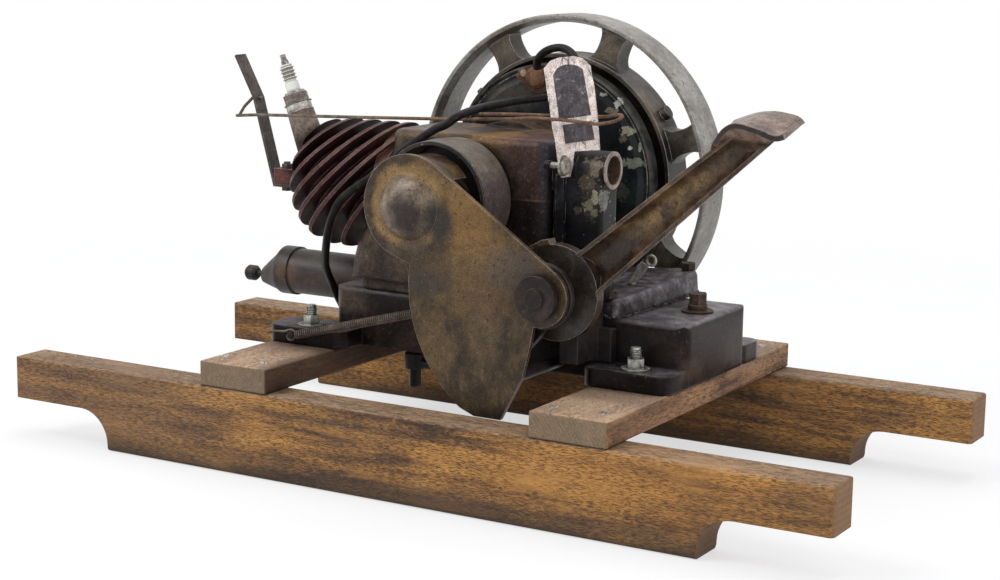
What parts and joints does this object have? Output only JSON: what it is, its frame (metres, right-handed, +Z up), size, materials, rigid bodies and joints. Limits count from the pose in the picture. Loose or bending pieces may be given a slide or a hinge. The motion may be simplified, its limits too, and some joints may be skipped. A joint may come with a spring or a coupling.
{
  "type": "stationary engine on a wooden skid",
  "caption": "Kick-start stationary engine with a horizontal finned cylinder, belt pulley, fan flywheel and foot pedal, bolted to a two-runner wooden skid.",
  "frame": {"origin": "on the floor under the middle of the skid's runners", "axes": "+X along the runners towards the foot pedal, +Y from the pulley side towards the flywheel, +Z up"},
  "size_m": [0.762, 0.348, 0.3725],
  "materials": {
    "runner_oak": "weathered",
    "crossbar_oak": "weathered, dry",
    "tank_iron": "oily, rust-freckled",
    "zinc_bolt": "zinc plated",
    "dark_bolt": "rusty",
    "rusty_plug": "rusty",
    "dark_iron": "oily",
    "rusty_case": "brown rust over iron",
    "maroon_iron": "old maroon paint, sooty",
    "plated_shell": "dull nickel",
    "porcelain": "glazed porcelain",
    "dark_steel": "dark oxide",
    "rusty_wire": "rusty",
    "shaft_steel": "oily steel",
    "pulley_steel": "dull, stained",
    "wheel_aluminium": "machined rim, stained spokes",
    "black_enamel": "chipped black enamel",
    "brown_cap": "rust brown",
    "duct_iron": "sooty brown",
    "black_carburettor": "chipped black paint",
    "knob_metal": "dull",
    "paper_tag": "worn card",
    "pin_steel": "brown oxide",
    "guard_rust": "worn ochre paint and rust",
    "pedal_brown": "worn brown-gold paint",
    "spring_steel": "rusty",
    "lead_rubber": "matt black rubber"
  },
  "bodies": {
    "engine": {"rail_front": "runner_oak", "rail_back": "runner_oak", "crossbar_left": "crossbar_oak", "crossbar_right": "crossbar_oak", "fuel_tank": "tank_iron", "bolt_front_left": "zinc_bolt", "bolt_front_right": "zinc_bolt", "bolt_back_left": "dark_bolt", "bolt_back_right": "dark_bolt", "tank_plug": "rusty_plug", "drain_cock": "dark_iron", "crankcase": "rusty_case", "crankcase_bolts": "rusty_plug", "cylinder": "maroon_iron", "spark_plug_shell": "plated_shell", "spark_plug_insulator": "porcelain", "stop_strip": "dark_steel", "stop_bolt": "dark_steel", "stop_wire": "rusty_wire", "magneto_backplate": "black_enamel", "coil_cap": "brown_cap", "exhaust_duct": "duct_iron", "exhaust_screw": "dark_steel", "carburettor": "black_carburettor", "needle_knob": "knob_metal", "choke_lever": "knob_metal", "tag_plate": "paper_tag", "starter_bracket": "dark_iron", "starter_pin": "pin_steel", "guard": "guard_rust", "guard_stay": "dark_iron", "return_spring": "spring_steel", "spring_stud": "dark_iron", "ignition_lead": "lead_rubber", "lead_terminal": "knob_metal"},
    "crankshaft": {"crankshaft": "shaft_steel", "pulley": "pulley_steel", "flywheel": "wheel_aluminium"},
    "kick_pedal": {"pedal": "pedal_brown", "gear_sector": "pin_steel"},
    "pinion": {"starter_pinion": "shaft_steel"}
  },
  "joints": [
    {"name": "crankshaft_spin", "type": "hinge", "parent": "engine", "child": "crankshaft", "pos_m": [0, 0, 0.2295], "axis": [0, 1, 0], "continuous": true},
    {"name": "pedal_press", "type": "hinge", "parent": "engine", "child": "kick_pedal", "pos_m": [0.11951, 0, 0.17], "axis": [0, 1, 0], "range_deg": [0, 60], "stiffness_Nm_per_rad": 2, "springref_deg": -45.84, "deforming": ["return_spring"]},
    {"name": "pinion_spin", "type": "hinge", "parent": "engine", "child": "pinion", "pos_m": [0, 0, 0.2295], "axis": [0, 1, 0], "range_deg": [-280, 0]}
  ],
  "couplings": [
    {"joint": "pinion_spin", "follows": "pedal_press", "ratio": -4.5625}
  ]
}
